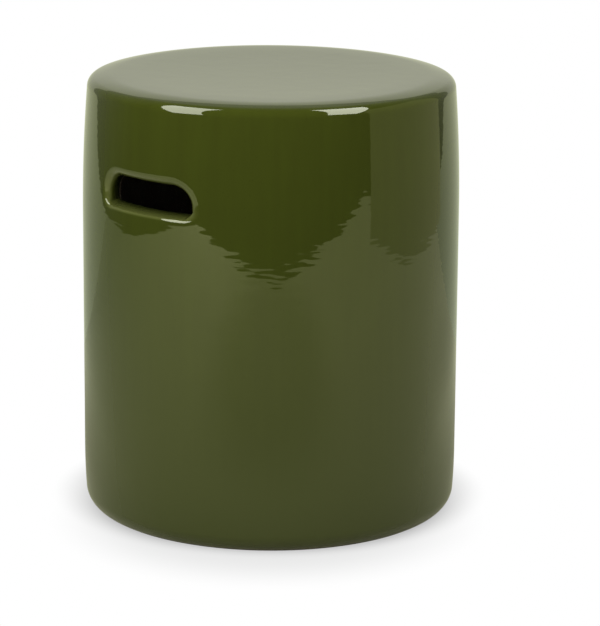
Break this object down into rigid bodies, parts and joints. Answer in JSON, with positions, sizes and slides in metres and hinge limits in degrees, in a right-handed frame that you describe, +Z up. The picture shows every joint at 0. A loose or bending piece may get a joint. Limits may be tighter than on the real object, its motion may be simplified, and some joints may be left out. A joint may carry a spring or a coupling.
{
  "type": "ceramic drum stool",
  "caption": "Round glazed ceramic drum stool with a shallow dished seat, rolled hand holes and an open base; it also serves as a side table.",
  "frame": {"origin": "on the floor, on the axis of the drum, at the underside of the pads", "axes": "+Z up along the axis of the drum; the hand holes face -Y (front) and +Y (rear)"},
  "size_m": [0.3699, 0.37, 0.436],
  "materials": {
    "clay": "bare fired stoneware",
    "glaze": "glossy olive green glaze",
    "pad": "matt"
  },
  "bodies": {
    "root": {"seat_slab": "clay", "side_wall": "clay", "foot_ring": "clay", "seat_coil": "clay", "foot_coil": "clay", "hand_hole_lip_front": "clay", "hand_hole_lip_rear": "clay", "glaze_coat": "glaze", "foot_pad_front_right": "pad", "foot_pad_rear_right": "pad", "foot_pad_rear_left": "pad", "foot_pad_front_left": "pad"}
  },
  "joints": []
}
